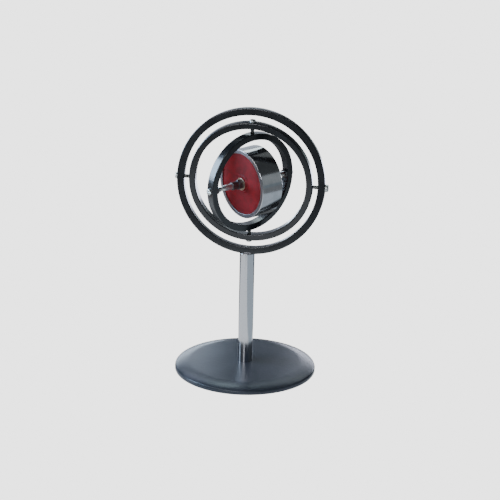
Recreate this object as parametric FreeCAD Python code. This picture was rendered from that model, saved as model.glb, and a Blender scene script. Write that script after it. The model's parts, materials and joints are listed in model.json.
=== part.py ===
import FreeCAD, Part
import math
import os

os.makedirs("parts", exist_ok=True)

# Classroom gyroscope on a stand, in millimetres.
# Origin at the centre of the base's underside, +Z up, +X along the outer ring's pivots, -Y to the viewer.

# Turned base: a flat top, an arched shoulder and a chamfered rim
base_radius = 73.0
base_rim_height = 4.6
base_rim_chamfer = 0.9
base_foot_chamfer = 0.6
base_shoulder_width = 16.0
base_shoulder_bulge = 0.7
base_height = 8.2

# Stand rod, screwed into the base, with the outer ring seated in its slotted top
rod_radius = 7.6
rod_edge_chamfer = 0.6
rod_foot_radius = 5.0
rod_foot_length = 6.0
rod_foot_hole_depth = 6.6
ring_seat_height = 125.0
ring_seat_depth = 0.8
ring_lean_degrees = 1.65

# How the free rings stand at rest
middle_ring_tip_degrees = 6.4
inner_ring_turn_degrees = 48.0

# Rotor: red cast wheel, polished rim band, steel axle, clamping nuts and washers
rotor_radius = 35.0
rotor_width = 25.0
rotor_rim_wall = 4.0
rotor_rim_chamfer = 0.8
rotor_face_recess = 1.2
hub_land_radius = 9.0
hub_land_height = 0.6
axle_radius = 3.0
hub_washer_radius = 6.4
hub_washer_thickness = 1.0
hub_nut_across_flats = 9.0
hub_nut_hex_length = 4.5
hub_nut_sleeve_radius = 3.9
hub_nut_length = 12.0
hub_nut_end_chamfer = 0.5

# Three gimbal rings, rolled from flat bar, each worked outwards from the rotor
rotor_gap = 9.4
inner_ring_thickness = 6.6
inner_ring_gap = 5.0
middle_ring_thickness = 6.5
middle_ring_gap = 5.1
outer_ring_thickness = 7.4
inner_ring_width = 9.8
middle_ring_width = 9.5
outer_ring_width = 7.6
ring_edge_chamfer = 0.6

# Gimbal pivot screws: slotted heads outside, cone points in cups drilled in the next ring
pivot_thread_radius = 2.0
pivot_tip_radius = 0.2
pivot_cone_half_degrees = 30.0
adjuster_head_radius = 3.7
adjuster_head_height = 3.4
plain_head_radius = 3.2
plain_head_height = 2.5
head_chamfer = 0.9
slot_width = 0.9
slot_depth = 1.1

# Cups for the cone points
cup_floor_radius = 0.3
ring_cup_depth = 2.0
screw_cup_depth = 1.7
cup_half_degrees = 45.0

# Axle pivot screws of the inner ring, with a cup in the inner end, and their lock nuts
axle_screw_radius = 2.5
axle_screw_reach = 6.9
axle_screw_end_chamfer = 0.3
lock_nut_across_flats = 8.0
lock_nut_thickness = 2.5

# Countersunk screw that holds the outer ring on the rod
ring_screw_radius = 2.0
ring_screw_head_radius = 3.3
ring_screw_length = 19.0
ring_screw_sink = 0.2
ring_screw_tail_room = 1.5

# Fits
thread_clearance = 0.02
washer_clearance = 0.1
ring_seat_clearance = 0.1
end_play = 0.05
spotface_depth = 0.2
spotface_margin = 0.5
overrun = 2.0

# Radii that follow
inner_ring_bore = rotor_radius + rotor_gap
inner_ring_radius = inner_ring_bore + inner_ring_thickness
middle_ring_bore = inner_ring_radius + inner_ring_gap
middle_ring_radius = middle_ring_bore + middle_ring_thickness
outer_ring_bore = middle_ring_radius + middle_ring_gap
outer_ring_radius = outer_ring_bore + outer_ring_thickness
axle_screw_end_radius = inner_ring_bore - axle_screw_reach

ORIGIN = FreeCAD.Vector(0, 0, 0)
X_AXIS = FreeCAD.Vector(1, 0, 0)
Y_AXIS = FreeCAD.Vector(0, 1, 0)
Z_AXIS = FreeCAD.Vector(0, 0, 1)


def turn(axis, degrees):
    """Frame turned about an axis through its origin."""
    return FreeCAD.Placement(ORIGIN, FreeCAD.Rotation(axis, degrees))


def shift(x, y, z):
    """Frame moved without turning."""
    return FreeCAD.Placement(FreeCAD.Vector(x, y, z), FreeCAD.Rotation())


def placed(solid, frame):
    """Copy of a solid built about the origin, set in a frame."""
    copy = solid.copy()
    copy.Placement = frame.multiply(copy.Placement)
    return copy


def section_point(radius, height):
    return FreeCAD.Vector(radius, 0, height)


def turned(start, *moves):
    """Solid turned about Z. A move is a (radius, height) point, or a pair of them for an arc."""
    edges = []
    here = section_point(*start)
    for move in moves:
        if isinstance(move[0], tuple):
            there = section_point(*move[1])
            edges.append(Part.Arc(here, section_point(*move[0]), there).toShape())
        else:
            there = section_point(*move)
            edges.append(Part.LineSegment(here, there).toShape())
        here = there
    if here != section_point(*start):
        edges.append(Part.LineSegment(here, section_point(*start)).toShape())
    return Part.Face(Part.Wire(edges)).revolve(ORIGIN, Z_AXIS, 360)


def bulged(start, end, bulge):
    """Arc move from start to end that rises by bulge at its middle."""
    middle = ((start[0] + end[0]) / 2, (start[1] + end[1]) / 2 + bulge)
    return (middle, end)


def square_ring(outer, bore, width):
    """Flat-bar ring about Z with square edges."""
    half = width / 2
    return turned((bore, -half), (outer, -half), (outer, half), (bore, half))


def edged_ring(outer, bore, width, edge):
    """Flat-bar ring about Z with its outer edges chamfered."""
    half = width / 2
    return turned(
        (bore, -half),
        (outer - edge, -half),
        (outer, edge - half),
        (outer, half - edge),
        (outer - edge, half),
        (bore, half),
    )


def upright(solid):
    """A ring made about Z, stood up so that its axis is Y."""
    return placed(solid, turn(X_AXIS, 90))


def outward(direction, distance):
    """Frame on a ring, with Z pointing out along a direction."""
    along = FreeCAD.Vector(direction)
    return FreeCAD.Placement(along * distance, FreeCAD.Rotation(Z_AXIS, along))


def cylinder_between(radius, low, high):
    return Part.makeCylinder(radius, high - low, FreeCAD.Vector(0, 0, low), Z_AXIS)


def cone_length(radius, tip, half_degrees):
    return (radius - tip) / math.tan(math.radians(half_degrees))


def slotted_head(solid, head_radius, head_height, slot_degrees):
    """Cuts the driver slot across a screw head whose top is at head_height."""
    reach = head_radius + overrun
    corner_point = FreeCAD.Vector(-slot_width / 2, -reach, head_height - slot_depth)
    cutter = Part.makeBox(slot_width, 2 * reach, slot_depth + overrun, corner_point)
    return solid.cut(placed(cutter, turn(Z_AXIS, slot_degrees)))


def head_moves(head_radius, head_height):
    """Outline of a cheese head from its seat to the middle of its top."""
    return (
        (head_radius, 0),
        (head_radius, head_height - head_chamfer),
        (head_radius - head_chamfer, head_height),
        (0, head_height),
    )


def pointed_screw(reach, head_radius, head_height, slot_degrees):
    """Pivot screw along Z: head seat at zero, cone tip at -reach."""
    cone = cone_length(pivot_thread_radius, pivot_tip_radius, pivot_cone_half_degrees)
    body = turned(
        (0, -reach),
        (pivot_tip_radius, -reach),
        (pivot_thread_radius, cone - reach),
        (pivot_thread_radius, 0),
        *head_moves(head_radius, head_height),
    )
    return slotted_head(body, head_radius, head_height, slot_degrees)


def cup_cutter(depth):
    """Cone cutter along Z whose mouth plane is at zero."""
    spread = math.tan(math.radians(cup_half_degrees))
    mouth = cup_floor_radius + (depth + overrun) * spread
    return Part.makeCone(cup_floor_radius, mouth, depth + overrun, FreeCAD.Vector(0, 0, -depth), Z_AXIS)


def hex_nut(across_flats, low, high):
    """Hexagonal blank along Z, before its thread is cut."""
    corner_radius = across_flats / math.sqrt(3)
    points = []
    for step in range(7):
        angle = math.radians(60 * step)
        points.append(FreeCAD.Vector(corner_radius * math.cos(angle), corner_radius * math.sin(angle), low))
    return Part.Face(Part.makePolygon(points)).extrude(FreeCAD.Vector(0, 0, high - low))


def head_seat(ring_radius):
    """Distance of a screw head's spot-faced seat from the ring's centre."""
    return ring_radius - spotface_depth


def tapped_hole(direction, ring_radius, ring_bore, thread_radius, head_radius):
    """Threaded hole through a ring with a spot face under the screw head."""
    hole = cylinder_between(thread_radius + thread_clearance, ring_bore - overrun, ring_radius + overrun)
    seat = head_seat(ring_radius)
    face = cylinder_between(head_radius + spotface_margin, seat, ring_radius + overrun)
    return placed(hole.fuse(face), outward(direction, 0))


# Frames of the nested rings
head_frame = shift(0, 0, ring_seat_height).multiply(turn(Y_AXIS, ring_lean_degrees)).multiply(
    shift(0, 0, outer_ring_radius))
middle_frame = head_frame.multiply(turn(X_AXIS, middle_ring_tip_degrees))
inner_frame = middle_frame.multiply(turn(Z_AXIS, inner_ring_turn_degrees))

LEFT = (-1, 0, 0)
RIGHT = (1, 0, 0)
TOP = (0, 0, 1)
BOTTOM = (0, 0, -1)


def base():
    """Flat-topped disc with an arched shoulder and a blind tapped hole for the rod's foot."""
    rim_top = (base_radius - base_rim_chamfer, base_rim_height)
    shoulder_top = (base_radius - base_shoulder_width, base_height)
    disc = turned(
        (0, 0),
        (base_radius - base_foot_chamfer, 0),
        (base_radius, base_foot_chamfer),
        (base_radius, base_rim_height - base_rim_chamfer),
        rim_top,
        bulged(rim_top, shoulder_top, base_shoulder_bulge),
        (0, base_height),
    )
    floor = base_height - rod_foot_hole_depth
    return disc.cut(cylinder_between(rod_foot_radius + thread_clearance, floor, base_height + overrun))


def ring_seat_cutter():
    """The outer ring's bar with side clearance, which cuts the slot that it seats in."""
    width = outer_ring_width + 2 * ring_seat_clearance
    return placed(upright(square_ring(outer_ring_radius, outer_ring_bore, width)), head_frame)


def ring_screw_frame():
    """Frame of the screw's head top inside the ring's lowest point, with Z towards the ring's centre."""
    return head_frame.multiply(shift(0, 0, -outer_ring_bore - ring_screw_sink))


def stand_rod():
    """Polished rod with a threaded foot and a slotted, tapped top."""
    top = ring_seat_height + ring_seat_depth
    foot = base_height - rod_foot_length
    edge = rod_edge_chamfer
    rod = turned(
        (0, foot),
        (rod_foot_radius, foot),
        (rod_foot_radius, base_height),
        (rod_radius, base_height),
        (rod_radius, top - edge),
        (rod_radius - edge, top),
        (0, top),
    )
    tail = ring_screw_length + ring_screw_tail_room
    hole = cylinder_between(ring_screw_radius + thread_clearance, -tail, 0)
    return rod.cut(ring_seat_cutter()).cut(placed(hole, ring_screw_frame()))


def ring_screw():
    """Countersunk screw from inside the outer ring into the rod."""
    sink = ring_screw_head_radius - ring_screw_radius
    body = turned(
        (0, -ring_screw_length),
        (ring_screw_radius, -ring_screw_length),
        (ring_screw_radius, -sink),
        (ring_screw_head_radius, 0),
        (0, 0),
    )
    return placed(slotted_head(body, ring_screw_head_radius, 0, 0), ring_screw_frame())


def outer_ring():
    """Fixed outer ring with its two pivot holes and the countersunk hole at its foot."""
    ring = upright(edged_ring(outer_ring_radius, outer_ring_bore, outer_ring_width, ring_edge_chamfer))
    ring = ring.cut(tapped_hole(RIGHT, outer_ring_radius, outer_ring_bore, pivot_thread_radius,
                                adjuster_head_radius))
    ring = ring.cut(tapped_hole(LEFT, outer_ring_radius, outer_ring_bore, pivot_thread_radius,
                                plain_head_radius))
    ring = placed(ring, head_frame)
    sink = ring_screw_head_radius - ring_screw_radius
    shank = ring_screw_radius + thread_clearance
    mouth = ring_screw_head_radius + thread_clearance
    hole = turned(
        (0, -outer_ring_radius),
        (shank, -outer_ring_radius),
        (shank, -sink),
        (mouth, 0),
        (mouth, overrun),
        (0, overrun),
    )
    return ring.cut(placed(hole, ring_screw_frame()))


def cupped_ring(outer, bore, width, cup_directions):
    """Upright ring with a conical cup drilled in its outer face at each direction."""
    ring = upright(edged_ring(outer, bore, width, ring_edge_chamfer))
    for direction in cup_directions:
        ring = ring.cut(placed(cup_cutter(ring_cup_depth), outward(direction, outer)))
    return ring


def middle_ring():
    """Ring that turns on the outer ring's points and carries the inner ring's."""
    ring = cupped_ring(middle_ring_radius, middle_ring_bore, middle_ring_width, (LEFT, RIGHT))
    for direction in (TOP, BOTTOM):
        ring = ring.cut(tapped_hole(direction, middle_ring_radius, middle_ring_bore, pivot_thread_radius,
                                    plain_head_radius))
    return placed(ring, middle_frame)


def inner_ring():
    """Ring that turns on the middle ring's points and carries the axle."""
    ring = cupped_ring(inner_ring_radius, inner_ring_bore, inner_ring_width, (TOP, BOTTOM))
    nut_face_radius = lock_nut_across_flats / math.sqrt(3) + spotface_margin
    for direction in (LEFT, RIGHT):
        ring = ring.cut(tapped_hole(direction, inner_ring_radius, inner_ring_bore, axle_screw_radius,
                                    plain_head_radius))
        nut_face = cylinder_between(nut_face_radius, 0, lock_nut_seat())
        ring = ring.cut(placed(nut_face, outward(direction, 0)))
    return placed(ring, inner_frame)


def gimbal_screw(direction, carrier_radius, pivoted_radius, frame, head, slot_degrees):
    """Pointed screw seated on one ring, with its tip in the next ring's cup."""
    seat = head_seat(carrier_radius)
    tip = pivoted_radius - ring_cup_depth + end_play
    screw = pointed_screw(seat - tip, *head, slot_degrees)
    return placed(screw, frame.multiply(outward(direction, seat)))


def lock_nut_seat():
    """Distance of the lock nut's seat inside the inner ring from the ring's centre."""
    return inner_ring_bore + spotface_depth


def axle_screw(direction):
    """Pivot screw through the inner ring with a cup in its inner end."""
    seat = head_seat(inner_ring_radius)
    end = axle_screw_end_radius - seat
    chamfer = axle_screw_end_chamfer
    body = turned(
        (0, end),
        (axle_screw_radius - chamfer, end),
        (axle_screw_radius, end + chamfer),
        (axle_screw_radius, 0),
        *head_moves(plain_head_radius, plain_head_height),
    )
    cup = placed(cup_cutter(screw_cup_depth), shift(0, 0, end).multiply(turn(X_AXIS, 180)))
    body = slotted_head(body.cut(cup), plain_head_radius, plain_head_height, 90)
    return placed(body, inner_frame.multiply(outward(direction, seat)))


def axle_lock_nut(direction):
    """Thin nut that locks an axle screw against the inside of the inner ring."""
    seat = lock_nut_seat()
    nut = hex_nut(lock_nut_across_flats, seat - lock_nut_thickness, seat)
    nut = nut.cut(cylinder_between(axle_screw_radius + thread_clearance, 0, inner_ring_radius))
    return placed(nut, inner_frame.multiply(outward(direction, 0)))


def axle():
    """Steel spindle with a cone point at each end, running in the two screw cups."""
    tip = axle_screw_end_radius + screw_cup_depth - end_play
    cone = cone_length(axle_radius, pivot_tip_radius, pivot_cone_half_degrees)
    spindle = turned(
        (0, -tip),
        (pivot_tip_radius, -tip),
        (axle_radius, cone - tip),
        (axle_radius, tip - cone),
        (pivot_tip_radius, tip),
        (0, tip),
    )
    return placed(spindle, inner_frame.multiply(outward(RIGHT, 0)))


def core_half_width():
    return rotor_width / 2 - rotor_face_recess


def rotor_core():
    """Cast wheel between the rim and the axle, with a raised land for each washer."""
    half = core_half_width()
    land = half + hub_land_height
    outer = rotor_radius - rotor_rim_wall
    bore = axle_radius + thread_clearance
    wheel = turned(
        (bore, -land),
        (hub_land_radius, -land),
        (hub_land_radius + hub_land_height, -half),
        (outer, -half),
        (outer, half),
        (hub_land_radius + hub_land_height, half),
        (hub_land_radius, land),
        (bore, land),
    )
    return placed(wheel, inner_frame.multiply(outward(RIGHT, 0)))


def rotor_rim():
    """Heavy polished band shrunk over the core."""
    band = edged_ring(rotor_radius, rotor_radius - rotor_rim_wall, rotor_width, rotor_rim_chamfer)
    return placed(band, inner_frame.multiply(outward(RIGHT, 0)))


def hub_washer(direction):
    seat = core_half_width() + hub_land_height
    disc = cylinder_between(hub_washer_radius, seat, seat + hub_washer_thickness)
    disc = disc.cut(cylinder_between(axle_radius + washer_clearance, 0, rotor_radius))
    return placed(disc, inner_frame.multiply(outward(direction, 0)))


def hub_nut(direction):
    """Long nut that clamps the wheel: a hexagon at the washer and a round sleeve along the axle."""
    seat = core_half_width() + hub_land_height + hub_washer_thickness
    nut = hex_nut(hub_nut_across_flats, seat, seat + hub_nut_hex_length)
    sleeve_end = seat + hub_nut_length
    chamfer = hub_nut_end_chamfer
    sleeve = turned(
        (0, seat),
        (hub_nut_sleeve_radius, seat),
        (hub_nut_sleeve_radius, sleeve_end - chamfer),
        (hub_nut_sleeve_radius - chamfer, sleeve_end),
        (0, sleeve_end),
    )
    nut = nut.fuse(sleeve).removeSplitter()
    nut = nut.cut(cylinder_between(axle_radius + thread_clearance, 0, inner_ring_radius))
    return placed(nut, inner_frame.multiply(outward(direction, 0)))


adjuster_head = (adjuster_head_radius, adjuster_head_height)
plain_head = (plain_head_radius, plain_head_height)

nodes = {
    "base": base(),
    "stand_rod": stand_rod(),
    "outer_ring": outer_ring(),
    "ring_screw": ring_screw(),
    "outer_pivot_screw_left": gimbal_screw(LEFT, outer_ring_radius, middle_ring_radius, head_frame,
                                           plain_head, 90),
    "outer_pivot_screw_right": gimbal_screw(RIGHT, outer_ring_radius, middle_ring_radius, head_frame,
                                            adjuster_head, 0),
    "middle_ring": middle_ring(),
    "middle_pivot_screw_top": gimbal_screw(TOP, middle_ring_radius, inner_ring_radius, middle_frame,
                                           plain_head, 90),
    "middle_pivot_screw_bottom": gimbal_screw(BOTTOM, middle_ring_radius, inner_ring_radius, middle_frame,
                                              plain_head, 90),
    "inner_ring": inner_ring(),
    "axle_pivot_screw_front": axle_screw(LEFT),
    "axle_pivot_screw_back": axle_screw(RIGHT),
    "axle_lock_nut_front": axle_lock_nut(LEFT),
    "axle_lock_nut_back": axle_lock_nut(RIGHT),
    "axle": axle(),
    "rotor_core": rotor_core(),
    "rotor_rim": rotor_rim(),
    "hub_washer_front": hub_washer(LEFT),
    "hub_washer_back": hub_washer(RIGHT),
    "hub_nut_front": hub_nut(LEFT),
    "hub_nut_back": hub_nut(RIGHT),
}

for name, shape in nodes.items():
    shape.exportStep("parts/" + name + ".step")
    print(name, "valid", shape.isValid(), "solids", len(shape.Solids), "volume", round(shape.Volume, 1))
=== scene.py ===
import json
import math

import bmesh
import bpy
from mathutils import Matrix, Vector


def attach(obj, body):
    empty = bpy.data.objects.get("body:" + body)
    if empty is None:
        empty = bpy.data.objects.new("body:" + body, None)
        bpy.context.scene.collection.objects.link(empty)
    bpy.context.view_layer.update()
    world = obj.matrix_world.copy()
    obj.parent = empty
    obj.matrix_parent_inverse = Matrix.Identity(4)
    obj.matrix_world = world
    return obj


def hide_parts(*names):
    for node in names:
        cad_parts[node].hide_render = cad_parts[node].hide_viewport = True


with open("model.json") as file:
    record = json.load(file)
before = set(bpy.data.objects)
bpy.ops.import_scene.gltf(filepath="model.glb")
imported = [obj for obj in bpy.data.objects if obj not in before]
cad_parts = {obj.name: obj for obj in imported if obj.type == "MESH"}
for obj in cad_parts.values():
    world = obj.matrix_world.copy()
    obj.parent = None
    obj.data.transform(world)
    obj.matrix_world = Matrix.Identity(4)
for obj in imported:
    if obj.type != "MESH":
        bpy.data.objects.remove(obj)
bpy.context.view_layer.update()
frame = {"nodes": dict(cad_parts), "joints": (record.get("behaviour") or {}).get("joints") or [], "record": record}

# A gyroscope on its stand: a rotor in three nested rings, on a rod and a round base. Lengths are in metres.

# Camera, fitted to the outlines of the rings, rod and base in the photograph
camera_distance = 1.298
camera_elevation = math.radians(17.25)
camera_azimuth = math.radians(9.19)
camera_roll = math.radians(-1.21)
camera_aim_height = 0.1282
camera_aim_side = 0.00276
camera_lens = 91.95
camera_sensor_width = 36.0

# How finely round pieces are turned
fine_steps = 224
seat_steps = 896
sweep_steps = 96
rod_steps = 96
screw_steps = 48
thread_steps = 24
nut_steps = 64

# Softened edges
ring_round = 0.0011
ring_bore_round = 0.0009
rim_round = 0.0007
rim_bore_round = 0.0003
base_rim_round = 0.0016
base_foot_round = 0.0006
base_arch_round = 0.0062
base_shoulder_round = 0.0008
rod_edge_round = 0.0007
head_round = 0.0013
sleeve_round = 0.0006
small_edge_round = 0.00018
edge_segments = 4
arch_segments = 12
head_segments = 8
sharp_degrees = 32

# Screws, which the CAD nodes hold as plain shanks with chamfered heads
pivot_thread_radius = 0.002
axle_thread_radius = 0.0025
thread_pitch = 0.0007
thread_depth = 0.00034
thread_flank_share = 0.46
thread_root_sink = 0.00012
thread_clearance = 0.00002
cone_slope = math.tan(math.radians(30))
cup_slope = math.tan(math.radians(45))
tip_radius = 0.0002
cup_floor_radius = 0.0003
ring_cup_depth = 0.002
screw_cup_depth = 0.0017
spotface_depth = 0.0002
spotface_margin = 0.0005
slot_width = 0.0009
slot_depth = 0.0011
ring_screw_tail_room = 0.0015
sleeve_end_chamfer = 0.0005
nut_chamfer_slope = math.tan(math.radians(30))
hexagon_sides = 6
hexagon_flat_share = math.cos(math.radians(30))
# Painted shade in the thread roots below a screw's head: how far under the seat it fades in, and the radius inside
# which it lies
root_shade_fade_length = 0.0004
shaded_root_radius = 0.0017

# Base and the outer ring's seat in the rod
base_rim_chamfer = 0.0009
base_shoulder_bulge = 0.0007
seat_side_room = 0.0001

# Working distances
cut_overrun = 0.002
match_distance = 1e-5
corner_distance = 1e-6
weld_distance = 1e-7
least_marks_radius = 0.0001

# Colours of the finishes, in linear light
enamel_black = (0.0105, 0.0130, 0.0165)
enamel_grey = (0.0180, 0.0210, 0.0255)
enamel_rubbed = (0.07, 0.075, 0.085)
slate_dark = (0.039, 0.049, 0.066)
slate_light = (0.054, 0.063, 0.086)
slate_grain = (0.095, 0.11, 0.13)
chrome_bright = (0.55, 0.555, 0.575)
chrome_speck = (0.47, 0.475, 0.495)
rim_bright = (0.55, 0.55, 0.565)
rim_cloud = (0.46, 0.465, 0.48)
# Darker, purplish colour of the rim's turned ends, which paints shade on the lip
rim_end_shade = (0.26, 0.245, 0.26)
red_deep = (0.19, 0.0014, 0.0055)
red_clear = (0.30, 0.003, 0.010)
red_grain = (0.33, 0.015, 0.014)
zinc_bright = (0.62, 0.63, 0.6)
zinc_cloud = (0.5, 0.52, 0.5)
# Near-black painted shade for the screws' thread roots below their heads
zinc_root_shade = (0.10, 0.10, 0.095)
steel_bright = (0.72, 0.71, 0.70)
steel_cloud = (0.6, 0.59, 0.58)
brass_bright = (0.60, 0.50, 0.40)
brass_dull = (0.46, 0.37, 0.28)
nut_black = (0.15, 0.15, 0.155)
nut_worn = (0.30, 0.30, 0.31)

# A Mix node's colour sockets, which can only be told by number from its value sockets of the same names
mix_first_colour = 6
mix_second_colour = 7
mix_colour_result = 2

# Studio: the backdrop's outline, how strongly it glows, and the dim light all round
sweep_outline = [(0.0, 0.0), (3.4, 0.0), (4.0, 0.25), (4.4, 0.9), (4.6, 3.6)]
sweep_glow = 3.0
room_glow = 0.065
room_tint = (0.85, 0.95, 1.0, 1.0)
white = (1.0, 1.0, 1.0)

# Where the lights aim, and where the glowing table and the shelf behind the object lie
head_middle = (0.0, 0.0, 0.2)
foot_middle = (0.0, 0.0, 0.0)
table_level = -0.002
far_table_level = -0.004
room_edge = 4.0
far_table_sides = (-room_edge, room_edge)
table_back_edge = 0.15
shelf_distance = 0.55
shelf_left_sides = (-0.45, -0.14)
shelf_middle_sides = (-0.14, -0.012)
shelf_right_sides = (-0.012, 0.35)
shelf_low_heights = (0.06, 0.17)

# Frames of the three rings, worked out from the joints
joints = {joint["name"]: joint for joint in frame["joints"]}
centre = Vector(joints["rotor_spin"]["pos_m"])
across_line = Vector(joints["middle_ring_turn"]["axis"])
upright_line = Vector(joints["inner_ring_turn"]["axis"])
axle_line = Vector(joints["rotor_spin"]["axis"])
outer_ring_line = Vector((0, 1, 0))
head_up_line = across_line.cross(outer_ring_line)
middle_ring_line = upright_line.cross(across_line)
inner_ring_line = upright_line.cross(axle_line)
ring_lines = {"outer_ring": outer_ring_line, "middle_ring": middle_ring_line, "inner_ring": inner_ring_line}
upright = Matrix.Identity(4)

record = frame["record"]
slot_of = {part["node"]: part["material_slot"] for part in record["subparts"]}
body_of = {node: body for body, nodes in record["behaviour"]["bodies"].items() for node in nodes}


class Number:
    """A value socket of a material. Arithmetic on it adds Math nodes."""

    def __init__(self, finish, socket):
        self.finish = finish
        self.socket = socket

    def maths(self, operation, *values):
        """Math node of one operation on some values."""
        sockets = dict(enumerate(values))
        return self.finish.node("ShaderNodeMath", {"operation": operation}, sockets)

    def __add__(self, other):
        return self.maths("ADD", self, other)

    __radd__ = __add__

    def __sub__(self, other):
        return self.maths("SUBTRACT", self, other)

    def __rsub__(self, other):
        return self.maths("SUBTRACT", other, self)

    def __mul__(self, other):
        return self.maths("MULTIPLY", self, other)

    __rmul__ = __mul__

    def __truediv__(self, other):
        return self.maths("DIVIDE", self, other)

    def __rtruediv__(self, other):
        return self.maths("DIVIDE", other, self)

    def __pow__(self, other):
        return self.maths("POWER", self, other)

    def at_least(self, other):
        """The greater of the two."""
        return self.maths("MAXIMUM", self, other)

    def rising(self, low, high):
        """0 below low, 1 above high, and smooth between them."""
        limits = {"Value": self, "From Min": low, "From Max": high, "To Min": 0.0, "To Max": 1.0}
        return self.finish.node("ShaderNodeMapRange", {"interpolation_type": "SMOOTHSTEP"}, limits)


class Finish:
    """A material, built on its Principled shader."""

    def __init__(self, name, **constants):
        self.material = bpy.data.materials.new(name)
        self.material.use_nodes = True
        self.tree = self.material.node_tree
        self.shader = self.tree.nodes["Principled BSDF"]
        for socket, value in constants.items():
            self.shader.inputs[socket.replace("_", " ")].default_value = value
        self.place = self.node("ShaderNodeAttribute", {"attribute_name": "turned_place"}, {}, "Vector")
        axes = self.node("ShaderNodeSeparateXYZ", {}, {"Vector": self.place}, None)
        self.x, self.y, self.height = (Number(self, socket) for socket in axes.outputs)
        self.radius = (self.x * self.x + self.y * self.y) ** 0.5

    def node(self, kind, settings, sockets, output=0):
        """Adds a node and returns one output: a Number, or the bare node where output is None."""
        made = self.tree.nodes.new(kind)
        for name, value in settings.items():
            setattr(made, name, value)
        for name, value in sockets.items():
            if isinstance(value, Number):
                self.tree.links.new(value.socket, made.inputs[name])
            else:
                made.inputs[name].default_value = value
        if output is None:
            return made
        return Number(self, made.outputs[output])

    def noise(self, scale, detail=3.0, roughness=0.55, vector=None):
        """Noise from 0 to 1 whose grain is about 1/scale metres."""
        sockets = {"Scale": scale, "Detail": detail, "Roughness": roughness}
        sockets["Vector"] = vector or self.place
        return self.node("ShaderNodeTexNoise", {}, sockets)

    def mixed(self, share, first, second):
        """Colour between two colours: the first where share is 0, the second where it is 1."""
        made = self.node("ShaderNodeMix", {"data_type": "RGBA"}, {0: share}, None)
        for index, colour in ((mix_first_colour, first), (mix_second_colour, second)):
            if isinstance(colour, Number):
                self.tree.links.new(colour.socket, made.inputs[index])
            else:
                made.inputs[index].default_value = (*colour, 1.0)
        return Number(self, made.outputs[mix_colour_result])

    def turning_marks(self, along_scale, round_scale):
        """Noise drawn out along the circles that a lathe leaves."""
        reach = self.radius.at_least(least_marks_radius)
        lines = self.radius * along_scale + self.height * along_scale
        places = {"X": self.x / reach * round_scale, "Y": self.y / reach * round_scale, "Z": lines}
        vector = self.node("ShaderNodeCombineXYZ", {}, places)
        return self.noise(scale=1.0, detail=2.0, roughness=0.5, vector=vector)

    def bumped(self, height, distance, strength=1.0):
        """Feeds a height to the shader's normal."""
        sockets = {"Height": height, "Distance": distance, "Strength": strength}
        self.feed("Normal", self.node("ShaderNodeBump", {}, sockets))

    def feed(self, socket, value):
        """Links a value to one socket of the shader."""
        self.tree.links.new(value.socket, self.shader.inputs[socket])


def facing(line, origin=centre, turn_degrees=0.0):
    """Frame at a point whose Z runs along a line."""
    turned = line.to_track_quat("Z", "Y").to_matrix().to_4x4()
    return Matrix.Translation(origin) @ turned @ Matrix.Rotation(math.radians(turn_degrees), 4, "Z")


def profile(node, place):
    """Radius and height of each point of a CAD node about a frame's Z axis."""
    back = place.inverted()
    points = [back @ vertex.co for vertex in frame["nodes"][node].data.vertices]
    return [(math.hypot(point.x, point.y), point.z) for point in points]


def measured(node, place):
    """Least and greatest radius of a CAD node about a frame's Z axis, then its ends along it."""
    radii, heights = zip(*profile(node, place))
    return min(radii), max(radii), min(heights), max(heights)


def reach_at(node, place, height):
    """Greatest radius of a CAD node at one height."""
    return max(r for r, z in profile(node, place) if abs(z - height) < match_distance)


def span_at(node, place, radius):
    """Lowest and highest point of a CAD node at one radius."""
    heights = [z for r, z in profile(node, place) if abs(r - radius) < match_distance]
    return min(heights), max(heights)


def circle_edges(mesh, radius, height):
    """The edges of a turned mesh that run round it at one corner of its outline."""
    found = []
    for edge in mesh.edges:
        ends = [(math.hypot(vertex.co.x, vertex.co.y), vertex.co.z) for vertex in edge.verts]
        if all(abs(r - radius) + abs(z - height) < corner_distance for r, z in ends):
            found.append(edge)
    return found


def spun(outline, steps):
    """Mesh turned about Z from (radius, height) corners, each with its round's width and segments if any."""
    mesh = bmesh.new()
    corners = [mesh.verts.new((corner[0], 0.0, corner[1])) for corner in outline]
    following = corners[1:] if outline[0][0] == 0 else corners[1:] + corners[:1]
    sides = [mesh.edges.new(pair) for pair in zip(corners, following)]
    bmesh.ops.spin(mesh, geom=corners + sides, axis=(0, 0, 1), angle=math.tau, steps=steps, use_merge=True)
    bmesh.ops.remove_doubles(mesh, verts=mesh.verts, dist=weld_distance)
    bmesh.ops.recalc_face_normals(mesh, faces=mesh.faces)
    for corner in outline:
        if len(corner) > 2:
            round_off(mesh, circle_edges(mesh, *corner[:2]), *corner[2:])
    return mesh


def round_off(mesh, edges, width, segments=edge_segments):
    """Rounds some edges of a mesh."""
    bmesh.ops.bevel(mesh, geom=edges, offset=width, offset_type="OFFSET", segments=segments, profile=0.5,
                    affect="EDGES", clamp_overlap=True, material=-1)


def block(x, y, z, low):
    """Box about Z with its underside at low."""
    mesh = bmesh.new()
    bmesh.ops.create_cube(mesh, size=1.0, matrix=Matrix.Diagonal((x, y, z, 1.0)))
    bmesh.ops.translate(mesh, verts=mesh.verts, vec=(0, 0, low + z / 2))
    return mesh


def moved(mesh, place):
    """The mesh, carried into a frame."""
    bmesh.ops.transform(mesh, matrix=place, verts=mesh.verts)
    return mesh


def linked(name, data):
    """An object of some data, linked to the scene."""
    made = bpy.data.objects.new(name, data)
    bpy.context.scene.collection.objects.link(made)
    return made


def loose_object(name, mesh):
    """A plain object from a mesh."""
    data = bpy.data.meshes.new(name)
    mesh.to_mesh(data)
    mesh.free()
    return linked(name, data)


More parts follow.
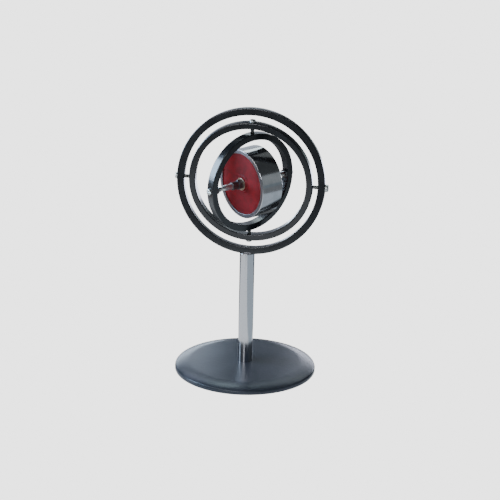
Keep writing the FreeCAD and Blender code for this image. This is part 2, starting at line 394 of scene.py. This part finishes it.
def cut(mesh, *cutters):
    """Mesh with the volume of each cutter taken out."""
    for cutter in cutters:
        solid = loose_object("solid", mesh)
        tool = loose_object("cutter", cutter)
        taking = solid.modifiers.new("cut", "BOOLEAN")
        taking.operation = "DIFFERENCE"
        taking.solver = "EXACT"
        taking.object = tool
        bpy.context.view_layer.update()
        mesh = bmesh.new()
        mesh.from_object(solid, bpy.context.evaluated_depsgraph_get())
        bpy.data.objects.remove(solid)
        bpy.data.objects.remove(tool)
        bmesh.ops.remove_doubles(mesh, verts=mesh.verts, dist=weld_distance)
    return mesh


def joined(*meshes):
    """One mesh that holds several closed shells."""
    whole = bmesh.new()
    for mesh in meshes:
        data = bpy.data.meshes.new("joining")
        mesh.to_mesh(data)
        mesh.free()
        whole.from_mesh(data)
        bpy.data.meshes.remove(data)
    return whole


def dress(name, mesh, place, node):
    """Makes a piece from a mesh in its frame, to stand for a CAD node."""
    piece = loose_object(name, mesh)
    data = piece.data
    turned = data.attributes.new("turned_place", "FLOAT_VECTOR", "POINT")
    turned.data.foreach_set("vector", [value for vertex in data.vertices for value in vertex.co])
    data.transform(place)
    data.shade_smooth()
    data.set_sharp_from_angle(angle=math.radians(sharp_degrees))
    weighted = piece.modifiers.new("even_normals", "WEIGHTED_NORMAL")
    weighted.keep_sharp = True
    data.materials.append(finishes[slot_of[node]].material)
    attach(piece, body_of[node])
    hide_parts(node)


def paint_ring():
    """Glossy near-black stoving enamel with a little orange peel, rubbed thin in places."""
    finish = Finish("ring_enamel", Roughness=0.2, Coat_Weight=0.25, Coat_Roughness=0.08, IOR=1.48)
    cloud = finish.noise(scale=60.0, detail=4.0)
    speck = finish.noise(scale=1400.0, detail=2.0)
    base = finish.mixed(cloud.rising(0.35, 0.68), enamel_black, enamel_grey)
    rubbed = (speck * 0.6 + cloud * 0.7).rising(0.86, 0.93)
    finish.feed("Base Color", finish.mixed(rubbed, base, enamel_rubbed))
    finish.feed("Roughness", 0.16 + 0.16 * cloud + 0.25 * rubbed)
    peel = finish.noise(scale=420.0, detail=2.0, roughness=0.4)
    finish.bumped(peel + 0.25 * speck, distance=0.00006, strength=0.5)
    return finish


def paint_base():
    """Glossy slate blue-grey enamel on a turned casting."""
    finish = Finish("base_enamel", Roughness=0.3, IOR=1.3)
    cloud = finish.noise(scale=26.0, detail=4.0)
    grain = finish.noise(scale=900.0, detail=3.0)
    base = finish.mixed(cloud.rising(0.3, 0.7), slate_dark, slate_light)
    finish.feed("Base Color", finish.mixed(grain.rising(0.6, 0.85), base, slate_grain))
    finish.feed("Roughness", 0.23 + 0.1 * cloud + 0.05 * grain)
    peel = finish.noise(scale=260.0, detail=2.0, roughness=0.45)
    finish.bumped(peel + 0.15 * grain, distance=0.00012, strength=0.5)
    return finish


def chrome_rod():
    """Polished chrome with faint drawn lines and a few specks."""
    finish = Finish("rod_chrome", Metallic=1.0, Roughness=0.08)
    across = 900.0
    along = 12.0
    stretch = {"X": finish.x * across, "Y": finish.y * across, "Z": finish.height * along}
    drawn = finish.node("ShaderNodeCombineXYZ", {}, stretch)
    lines = finish.noise(scale=1.0, detail=3.0, roughness=0.5, vector=drawn)
    speck = finish.noise(scale=700.0, detail=2.0)
    finish.feed("Base Color", finish.mixed(speck.rising(0.55, 0.8), chrome_bright, chrome_speck))
    finish.feed("Roughness", 0.05 + 0.1 * lines.rising(0.3, 0.8) + 0.06 * speck)
    finish.bumped(lines, distance=0.000004, strength=0.4)
    return finish


def polished_band():
    """Steel with fine marks round it, mirror-polished outside and satin on its turned ends, whose darker colour
    there is painted shade.
    """
    finish = Finish("rim_polish", Metallic=1.0, Roughness=0.1)
    rim_reach = measured("rotor_rim", facing(axle_line))[1]
    satin_shade_end = rim_reach - rim_round
    polish_start = rim_reach - 0.3 * rim_round
    # The satin turning on the ends is real; their darker colour is painted shade
    polish = finish.radius.rising(satin_shade_end, polish_start)
    marks = finish.turning_marks(along_scale=6000.0, round_scale=2.0)
    cloud = finish.noise(scale=120.0, detail=3.0)
    base = finish.mixed(cloud.rising(0.3, 0.75), rim_bright, rim_cloud)
    finish.feed("Base Color", finish.mixed(polish, rim_end_shade, base))
    finish.feed("Roughness", 0.07 + 0.1 * marks + 0.06 * cloud + 0.25 * (1.0 - polish))
    finish.bumped(marks, distance=0.000004, strength=0.5)
    return finish


def red_casting():
    """Deep red paint over a cast face, slightly mottled."""
    finish = Finish("rotor_red_paint", Roughness=0.45, IOR=1.33)
    blotch = finish.noise(scale=150.0, detail=4.0, roughness=0.6)
    grain = finish.noise(scale=1100.0, detail=3.0)
    base = finish.mixed(blotch.rising(0.32, 0.7), red_deep, red_clear)
    finish.feed("Base Color", finish.mixed(grain.rising(0.58, 0.8), base, red_grain))
    finish.feed("Roughness", 0.4 + 0.2 * blotch + 0.1 * grain)
    finish.bumped(blotch * 0.5 + grain * 0.5, distance=0.00025, strength=0.5)
    return finish


def zinc_plate():
    """Bright zinc plate, slightly cloudy, with painted shade below the head between the thread's crests."""
    finish = Finish("screw_plate", Metallic=1.0, Roughness=0.28)
    cloud = finish.noise(scale=500.0, detail=3.0)
    marks = finish.turning_marks(along_scale=9000.0, round_scale=2.0)
    base = finish.mixed(cloud.rising(0.3, 0.7), zinc_bright, zinc_cloud)
    # Painted shade: the thread's roots and narrow parts below the head are darkened
    crest = finish.radius.rising(shaded_root_radius, pivot_thread_radius)
    unshaded = finish.height.rising(-root_shade_fade_length, 0.0).at_least(crest)
    finish.feed("Base Color", finish.mixed(unshaded, zinc_root_shade, base))
    finish.feed("Roughness", 0.2 + 0.16 * cloud + 0.1 * marks)
    finish.bumped(marks, distance=0.000008, strength=0.5)
    return finish


def ground_steel():
    """Ground steel with fine marks round it."""
    finish = Finish("axle_ground_steel", Metallic=1.0, Roughness=0.25)
    marks = finish.turning_marks(along_scale=8000.0, round_scale=2.0)
    cloud = finish.noise(scale=300.0, detail=3.0)
    finish.feed("Base Color", finish.mixed(cloud.rising(0.3, 0.7), steel_bright, steel_cloud))
    finish.feed("Roughness", 0.18 + 0.14 * marks + 0.08 * cloud)
    finish.bumped(marks, distance=0.000006, strength=0.5)
    return finish


def dull_brass():
    """Turned brass that has gone a little dull."""
    finish = Finish("washer_brass", Metallic=1.0, Roughness=0.32)
    cloud = finish.noise(scale=400.0, detail=3.0)
    marks = finish.turning_marks(along_scale=9000.0, round_scale=2.0)
    finish.feed("Base Color", finish.mixed(cloud.rising(0.3, 0.7), brass_bright, brass_dull))
    finish.feed("Roughness", 0.24 + 0.16 * cloud + 0.1 * marks)
    finish.bumped(marks, distance=0.000008, strength=0.5)
    return finish


def black_steel():
    """Chemically blackened steel, worn slightly bright."""
    finish = Finish("nut_black_steel", Metallic=1.0, Roughness=0.35)
    cloud = finish.noise(scale=700.0, detail=3.0)
    marks = finish.turning_marks(along_scale=7000.0, round_scale=2.0)
    finish.feed("Base Color", finish.mixed(cloud.rising(0.55, 0.8), nut_black, nut_worn))
    finish.feed("Roughness", 0.26 + 0.18 * cloud + 0.08 * marks)
    finish.bumped(marks, distance=0.000008, strength=0.5)
    return finish


finishes = {
    "ring_paint": paint_ring(),
    "base_paint": paint_base(),
    "polished_rod": chrome_rod(),
    "polished_rim": polished_band(),
    "rotor_red": red_casting(),
    "plated_screws": zinc_plate(),
    "axle_steel": ground_steel(),
    "hub_washers": dull_brass(),
    "dark_nuts": black_steel(),
}


def seated(line, seat, turn_degrees):
    """Frame of a screw along a line, with height zero at its seat."""
    return facing(line, turn_degrees=turn_degrees) @ Matrix.Translation((0, 0, seat))


def head_outline(radius, top):
    """Outline of a rounded cheese head from its seat at zero to the middle of its top."""
    return [(radius, 0.0, small_edge_round), (radius, top, head_round, head_segments), (0.0, top)]


def head_slot(radius, top):
    """Cutter for the driver slot of a head."""
    return block(slot_width, 2 * (radius + cut_overrun), slot_depth + cut_overrun, top - slot_depth)


def thread(radius, low, high):
    """Closed helical ridge of a screw thread between two heights."""
    ridge = bmesh.new()
    root = radius - thread_depth - thread_root_sink
    half = thread_flank_share * thread_pitch
    points = ((root, low - half), (radius, low), (root, low + half))
    corners = [ridge.verts.new((reach, 0.0, height)) for reach, height in points]
    sides = [ridge.edges.new((corners[i - 1], corners[i])) for i in range(len(corners))]
    turns = (high - low) / thread_pitch
    steps = round(turns * thread_steps)
    bmesh.ops.spin(ridge, geom=corners + sides, axis=(0, 0, 1), angle=math.tau * turns, steps=steps,
                   dvec=(0, 0, (high - low) / steps))
    bmesh.ops.holes_fill(ridge, edges=ridge.edges, sides=len(corners))
    bmesh.ops.recalc_face_normals(ridge, faces=ridge.faces)
    return ridge


def pillar(radius, low, high):
    """Plain cylinder about Z."""
    return spun([(0.0, low), (radius, low), (radius, high), (0.0, high)], screw_steps)


def chamfered_hexagon(corner, low, high):
    """Nut blank about Z: a hexagon whose corners are turned off at both ends."""
    nut = bmesh.new()
    bmesh.ops.create_cone(nut, cap_ends=True, cap_tris=False, segments=hexagon_sides, radius1=corner,
                          radius2=corner, depth=high - low)
    bmesh.ops.translate(nut, verts=nut.verts, vec=(0, 0, (low + high) / 2))
    flat = corner * hexagon_flat_share
    wide = corner + cut_overrun
    for end, outward in ((high, 1), (low, -1)):
        outside = end + outward * cut_overrun
        turned_off = end - outward * nut_chamfer_slope * (wide - flat)
        cutter = spun([(flat, end), (wide, turned_off), (wide, outside), (flat, outside)], nut_steps)
        nut = cut(nut, cutter)
    return nut


def pivot_hole(line, ring_line, bore, radius, thread_radius, head_radius):
    """Cutter for the threaded hole through a ring and the spot face under its screw head."""
    seat = radius - spotface_depth
    hole = thread_radius + thread_clearance
    face = head_radius + spotface_margin
    start = bore - cut_overrun
    end = radius + cut_overrun
    outline = [(0.0, start), (hole, start), (hole, seat), (face, seat), (face, end), (0.0, end)]
    cutter = spun(outline, screw_steps)
    return moved(cutter, facing(ring_line).inverted() @ facing(line))


def cup_cutter(line, ring_line, radius):
    """Cutter for the conical cup drilled in a ring's outer face."""
    floor = radius - ring_cup_depth
    end = radius + cut_overrun
    mouth = cup_floor_radius + (end - floor) * cup_slope
    cup = spun([(0.0, floor), (cup_floor_radius, floor), (mouth, end), (0.0, end)], screw_steps)
    return moved(cup, facing(ring_line).inverted() @ facing(line))


def sunk_outline(head, end, top, room):
    """Outline of a countersunk screw, or with some room the outline of its hole."""
    shank = pivot_thread_radius + room
    return [(0.0, end), (shank, end), (shank, top - head + pivot_thread_radius), (head + room, top)]


def ring_bar(node, cups, screws, thread_radius):
    """Flat-bar ring in its frame, with softened edges, cups along some lines and screw holes along others."""
    ring_line = ring_lines[node]
    bore, radius, low, high = measured(node, facing(ring_line))
    mesh = spun([
        (bore, low, ring_bore_round),
        (radius, low, ring_round),
        (radius, high, ring_round),
        (bore, high, ring_bore_round),
    ], fine_steps)
    cutters = [cup_cutter(line, ring_line, radius) for line in cups]
    for line, screw in screws:
        head = measured(screw, facing(line))[1]
        cutters.append(pivot_hole(line, ring_line, bore, radius, thread_radius, head))
    return cut(mesh, *cutters)


def outer_ring():
    """Fixed ring, with threaded holes for its pivots and a sunk hole for the screw that holds it."""
    screws = ((across_line, "outer_pivot_screw_right"), (-across_line, "outer_pivot_screw_left"))
    mesh = ring_bar("outer_ring", (), screws, pivot_thread_radius)
    _, head, end, top = measured("ring_screw", facing(head_up_line))
    outside = top + cut_overrun
    sunk = spun([*sunk_outline(head, end, top, thread_clearance), (head + thread_clearance, outside),
                 (0.0, outside)], screw_steps)
    mesh = cut(mesh, moved(sunk, facing(outer_ring_line).inverted() @ facing(head_up_line)))
    dress("outer_ring_bar", mesh, facing(outer_ring_line), "outer_ring")


def middle_ring():
    """Ring with cups left and right, and threaded holes for the pivots of the inner ring."""
    screws = ((upright_line, "middle_pivot_screw_top"), (-upright_line, "middle_pivot_screw_bottom"))
    mesh = ring_bar("middle_ring", (across_line, -across_line), screws, pivot_thread_radius)
    dress("middle_ring_bar", mesh, facing(middle_ring_line), "middle_ring")


def inner_ring():
    """Ring with cups above and below, and threaded holes for the axle's screws."""
    screws = ((axle_line, "axle_pivot_screw_back"), (-axle_line, "axle_pivot_screw_front"))
    mesh = ring_bar("inner_ring", (upright_line, -upright_line), screws, axle_thread_radius)
    dress("inner_ring_bar", mesh, facing(inner_ring_line), "inner_ring")


def pivot_screw(node, line, carrier, turn_degrees):
    """Slotted screw with a cone point, seated on its ring."""
    ring_radius = measured(carrier, facing(ring_lines[carrier]))[1]
    place = seated(line, ring_radius - spotface_depth, turn_degrees)
    _, head, tip, top = measured(node, place)
    core = pivot_thread_radius - thread_depth
    cone_end = tip + (core - tip_radius) / cone_slope
    body = spun([(0.0, tip), (tip_radius, tip), (core, cone_end), (core, 0.0), *head_outline(head, top)],
                screw_steps)
    body = cut(body, head_slot(head, top))
    ridge = thread(pivot_thread_radius, cone_end + thread_pitch, -thread_pitch)
    dress(node + "_turned", joined(body, ridge), place, node)


def axle_screw(node, line, turn_degrees):
    """Slotted screw with a cup in its inner end."""
    ring_radius = measured("inner_ring", facing(inner_ring_line))[1]
    place = seated(line, ring_radius - spotface_depth, turn_degrees)
    _, head, end, top = measured(node, place)
    core = axle_thread_radius - thread_depth
    mouth = cup_floor_radius + screw_cup_depth * cup_slope
    floor = end + screw_cup_depth
    body = spun([(0.0, floor), (cup_floor_radius, floor), (mouth, end), (core, end, small_edge_round),
                 (core, 0.0), *head_outline(head, top)], screw_steps)
    body = cut(body, head_slot(head, top))
    ridge = thread(axle_thread_radius, end + thread_pitch, -thread_pitch)
    dress(node + "_turned", joined(body, ridge), place, node)


def ring_screw():
    """Countersunk slotted screw from inside the outer ring into the rod."""
    _, head, _, top = measured("ring_screw", facing(head_up_line))
    place = seated(head_up_line, top, 0.0)
    end = measured("ring_screw", place)[2]
    body = spun([*sunk_outline(head, end, 0.0, 0.0), (0.0, 0.0)], screw_steps)
    dress("ring_screw_turned", cut(body, head_slot(head, 0.0)), place, "ring_screw")


def axle():
    """Spindle with a cone point at each end."""
    place = facing(axle_line)
    _, radius, low, high = measured("axle", place)
    cone = (radius - tip_radius) / cone_slope
    mesh = spun([
        (0.0, low),
        (tip_radius, low),
        (radius, low + cone, small_edge_round),
        (radius, high - cone, small_edge_round),
        (tip_radius, high),
        (0.0, high),
    ], screw_steps)
    dress("axle_spindle", mesh, place, "axle")


def rotor_core():
    """Cast wheel with a raised land for each washer."""
    place = facing(axle_line)
    bore, radius, low, high = measured("rotor_core", place)
    face_low, face_high = span_at("rotor_core", place, radius)
    land = reach_at("rotor_core", place, high)
    mesh = spun([
        (bore, low),
        (land, low, small_edge_round),
        (land + face_low - low, face_low, small_edge_round),
        (radius, face_low),
        (radius, face_high),
        (land + high - face_high, face_high, small_edge_round),
        (land, high, small_edge_round),
        (bore, high),
    ], fine_steps)
    dress("rotor_core_casting", mesh, place, "rotor_core")


def collar(node, place, bore_round, outer_round, steps):
    """Plain turned ring with softened edges."""
    bore, radius, low, high = measured(node, place)
    return spun([(bore, low, bore_round), (radius, low, outer_round), (radius, high, outer_round),
                 (bore, high, bore_round)], steps)


def rotor_rim():
    """Polished band shrunk over the core."""
    place = facing(axle_line)
    mesh = collar("rotor_rim", place, rim_bore_round, rim_round, fine_steps)
    dress("rotor_rim_band", mesh, place, "rotor_rim")


def hub_washer(node, line):
    """Flat washer between the rotor's land and its nut."""
    mesh = collar(node, facing(line), small_edge_round, small_edge_round, nut_steps)
    dress(node + "_turned", mesh, facing(line), node)


def bored_hexagon(corner, bore, low, high):
    """Chamfered hexagon with a hole along it."""
    return cut(chamfered_hexagon(corner, low, high), pillar(bore, low - cut_overrun, high + cut_overrun))


def hub_nut(node, line):
    """Hexagon at the washer and a round sleeve along the axle."""
    place = facing(line)
    bore, corner, low, high = measured(node, place)
    hexagon_end = span_at(node, place, corner)[1]
    sleeve_start = (low + hexagon_end) / 2
    sleeve_radius = reach_at(node, place, high) + sleeve_end_chamfer
    sleeve = spun([(bore, sleeve_start), (sleeve_radius, sleeve_start), (sleeve_radius, high, sleeve_round),
                   (bore, high)], nut_steps)
    dress(node + "_turned", joined(bored_hexagon(corner, bore, low, hexagon_end), sleeve), place, node)


def lock_nut(node, line):
    """Thin nut that locks an axle screw inside the ring."""
    place = facing(line)
    bore, corner, low, high = measured(node, place)
    dress(node + "_turned", bored_hexagon(corner, bore, low, high), place, node)


def base():
    """Flat-topped disc with an arched shoulder, a rounded rim and the rod's hole."""
    hole, radius, low, high = measured("base", upright)
    hole_floor = span_at("base", upright, hole)[0]
    rim_reach = radius - base_rim_chamfer
    rim_height = span_at("base", upright, radius)[1] + base_rim_chamfer
    flat_reach = reach_at("base", upright, high)
    arch_reach = (rim_reach + flat_reach) / 2
    arch_height = (rim_height + high) / 2 + 2 * base_shoulder_bulge
    fall = (arch_height - rim_height) / (rim_reach - arch_reach)
    mesh = spun([
        (0.0, low),
        (radius, low, base_foot_round),
        (radius, rim_height - fall * base_rim_chamfer, base_rim_round),
        (arch_reach, arch_height, base_arch_round, arch_segments),
        (flat_reach, high, base_shoulder_round),
        (hole, high),
        (hole, hole_floor),
        (0.0, hole_floor),
    ], fine_steps)
    dress("base_disc", mesh, upright, "base")


def stand_rod():
    """Polished rod with its foot, the outer ring's seat and the tapped hole for the ring's screw."""
    _, radius, low, high = measured("stand_rod", upright)
    foot_radius = reach_at("stand_rod", upright, low)
    base_top = measured("base", upright)[3]
    rod = spun([
        (0.0, low),
        (foot_radius, low),
        (foot_radius, base_top),
        (radius, base_top),
        (radius, high, rod_edge_round),
        (0.0, high),
    ], rod_steps)
    bore, ring_radius, ring_low, ring_high = measured("outer_ring", facing(outer_ring_line))
    front = ring_low - seat_side_room
    back = ring_high + seat_side_room
    seat = spun([(bore, front), (ring_radius, front), (ring_radius, back), (bore, back)], seat_steps)
    screw_end = measured("ring_screw", facing(head_up_line))[2]
    tapped = pillar(pivot_thread_radius + thread_clearance, screw_end - ring_screw_tail_room, -bore)
    rod = cut(rod, moved(seat, facing(outer_ring_line)), moved(tapped, facing(head_up_line)))
    dress("stand_rod_polished", rod, upright, "stand_rod")


base()
stand_rod()
outer_ring()
middle_ring()
inner_ring()
ring_screw()
pivot_screw("outer_pivot_screw_right", across_line, "outer_ring", 0.0)
pivot_screw("outer_pivot_screw_left", -across_line, "outer_ring", 90.0)
pivot_screw("middle_pivot_screw_top", upright_line, "middle_ring", 90.0)
pivot_screw("middle_pivot_screw_bottom", -upright_line, "middle_ring", 90.0)
axle_screw("axle_pivot_screw_front", -axle_line, 90.0)
axle_screw("axle_pivot_screw_back", axle_line, 90.0)
lock_nut("axle_lock_nut_front", -axle_line)
lock_nut("axle_lock_nut_back", axle_line)
axle()
rotor_core()
rotor_rim()
hub_washer("hub_washer_front", -axle_line)
hub_washer("hub_washer_back", axle_line)
hub_nut("hub_nut_front", -axle_line)
hub_nut("hub_nut_back", axle_line)


def studio_piece(name, mesh, colour, strength):
    """Glowing part of the studio."""
    piece = loose_object(name, mesh)
    piece.data.shade_smooth()
    material = bpy.data.materials.new(name + "_glow")
    material.use_nodes = True
    nodes = material.node_tree.nodes
    nodes.remove(nodes["Principled BSDF"])
    source = nodes.new("ShaderNodeEmission")
    source.inputs["Color"].default_value = (*colour, 1.0)
    source.inputs["Strength"].default_value = strength
    material.node_tree.links.new(source.outputs["Emission"], nodes["Material Output"].inputs["Surface"])
    piece.data.materials.append(material)
    piece.visible_shadow = False
    return piece


def white_sweep():
    """White floor that curves up into a white backdrop. It lights nothing but the camera's view."""
    piece = studio_piece("white_sweep", spun(sweep_outline, sweep_steps), white, sweep_glow)
    piece.visible_diffuse = False
    piece.visible_glossy = False


def card(name, middle, aim, width, height, colour, strength, lights_paint=False):
    """Glowing card that the polished pieces mirror and the camera doesn't see."""
    mesh = bmesh.new()
    bmesh.ops.create_grid(mesh, x_segments=1, y_segments=1, size=0.5)
    toward = (Vector(aim) - Vector(middle)).to_track_quat("Z", "Y").to_matrix().to_4x4()
    moved(mesh, Matrix.Translation(middle) @ toward @ Matrix.Diagonal((width, height, 1.0, 1.0)))
    piece = studio_piece(name, mesh, colour, strength)
    piece.visible_camera = False
    piece.visible_diffuse = lights_paint


def table_card(name, sides, ends, height, colour, strength):
    """Part of the table's glow, between two sides, from its near to its far end. It lights the paint too."""
    middle = ((sides[0] + sides[1]) / 2, (ends[0] + ends[1]) / 2, height)
    above = (middle[0], middle[1], 1.0)
    card(name, middle, above, sides[1] - sides[0], ends[1] - ends[0], colour, strength, True)


def back_card(name, distance, sides, ends, colour, strength):
    """Upright card behind the object, between two sides and two heights."""
    middle = ((sides[0] + sides[1]) / 2, distance, (ends[0] + ends[1]) / 2)
    ahead = (middle[0], 0.0, middle[2])
    card(name, middle, ahead, sides[1] - sides[0], ends[1] - ends[0], colour, strength)


def studio_sky():
    """Dim even surround, as in a dark room."""
    world = bpy.data.worlds.new("studio")
    world.use_nodes = True
    bpy.context.scene.world = world
    background = world.node_tree.nodes["Background"]
    background.inputs["Color"].default_value = room_tint
    background.inputs["Strength"].default_value = room_glow


def soft_light(name, position, aim, width, height, watts, colour=white, mirrored=True):
    """Softbox turned to its aim. One that isn't mirrored only lights the paint."""
    data = bpy.data.lights.new(name, "AREA")
    data.shape = "RECTANGLE"
    data.size = width
    data.size_y = height
    data.energy = watts
    data.color = colour
    lamp = linked(name, data)
    lamp.visible_glossy = mirrored
    lamp.location = position
    lamp.rotation_euler = (Vector(aim) - Vector(position)).to_track_quat("-Z", "Y").to_euler()


def photo_camera():
    """Camera at the photograph's angle."""
    level = math.cos(camera_elevation)
    back = Vector((math.sin(camera_azimuth) * level, -math.cos(camera_azimuth) * level,
                   math.sin(camera_elevation)))
    level_right = Vector((math.cos(camera_azimuth), math.sin(camera_azimuth), 0.0))
    level_up = back.cross(level_right)
    right = math.cos(camera_roll) * level_right - math.sin(camera_roll) * level_up
    up = math.sin(camera_roll) * level_right + math.cos(camera_roll) * level_up
    place = Vector((0.0, 0.0, camera_aim_height)) + camera_aim_side * right + camera_distance * back
    data = bpy.data.cameras.new("photo_camera")
    data.lens = camera_lens
    data.sensor_width = camera_sensor_width
    camera = linked("photo_camera", data)
    turned = Matrix((right, up, back)).transposed().to_4x4()
    camera.matrix_world = Matrix.Translation(place) @ turned
    bpy.context.scene.camera = camera


white_sweep()
studio_sky()

# Lights: name, place, aim, width, height, watts, tint
soft_light("key", (-0.9, -1.1, 1.4), head_middle, 1.0, 1.0, 11.0)
soft_light("left_window", (-1.3, -0.08, 0.62), (0.0, 0.0, 0.3), 0.4, 0.95, 14.0, (0.64, 0.79, 1.0))
soft_light("behind_right", (0.62, 1.45, 0.95), head_middle, 0.6, 0.6, 6.0, mirrored=False)

# Free cards: name, place, aim, width, height, tint, glow
card("left_near", (-0.36, -0.03, 0.33), (0.0, -0.03, 0.33), 0.16, 0.20, (0.60, 0.82, 1.10), 20.0)
card("front_window", (-0.28, -1.5, 0.62), (0.0, 0.0, 0.05), 0.5, 0.4, (0.96, 0.98, 1.06), 13.0)
card("ceiling", (0.75, 1.3, 2.2), head_middle, 1.4, 1.2, (0.90, 0.98, 1.0), 0.16)

# Table: name, sides, near and far end, level, tint, glow
table_card("table", (-0.42, 0.08), (-0.42, 0.10), table_level, (0.92, 0.98, 1.04), 1.2)
table_card("table_left", (-0.8, -0.42), (-0.25, 0.2), table_level, (1.0, 0.82, 0.72), 0.55)
table_card("table_right", (0.08, 0.5), (-0.6, 0.22), table_level, (0.80, 0.94, 1.07), 0.68)
table_card("table_far", far_table_sides, (-room_edge, table_back_edge), far_table_level,
           (0.88, 0.95, 1.02), 0.25)
table_card("table_behind", far_table_sides, (table_back_edge, room_edge), far_table_level,
           (0.90, 0.95, 1.0), 0.15)

# Upright cards behind the object: name, distance, sides, heights, tint, glow. The free cards among them
# keep their own order of values.
back_card("drum_strip", 0.3, (-0.16, 0.03), (0.215, 0.38), (0.85, 0.94, 1.08), 0.75)
back_card("upper_left", 0.9, (-0.9, -0.48), (0.8, 1.2), (0.78, 0.85, 1.17), 5.0)
card("high_behind", (-0.4, 1.3, 2.1), foot_middle, 0.7, 0.6, (0.74, 0.95, 1.02), 10.0)
back_card("shelf_low_left", shelf_distance, shelf_left_sides, shelf_low_heights, (0.78, 0.92, 1.10), 8.5)
back_card("shelf_low_right", shelf_distance, shelf_right_sides, shelf_low_heights, (0.86, 0.90, 1.06), 8.6)
back_card("shelf_left", shelf_distance, shelf_left_sides, (0.17, 0.32), (0.78, 0.86, 1.04), 1.2)
back_card("shelf_middle", shelf_distance, shelf_middle_sides, (0.165, 0.195), (0.82, 0.93, 1.0), 1.2)
back_card("shelf_right", shelf_distance, shelf_right_sides, (0.17, 0.30), (0.80, 0.97, 1.0), 0.5)
card("back_high", (-0.1, 1.2, 1.15), (0.0, 0.0, 0.1), 1.6, 0.45, (0.86, 0.98, 1.03), 2.9)
card("right_wall", (1.5, 0.0, 0.5), (0.0, 0.0, 0.5), 1.6, 0.8, (0.88, 0.97, 1.02), 0.38)
card("right_skirting", (1.45, 0.0, 0.09), (0.0, 0.0, 0.09), 1.6, 0.2, (0.75, 0.92, 1.05), 0.28)
photo_camera()
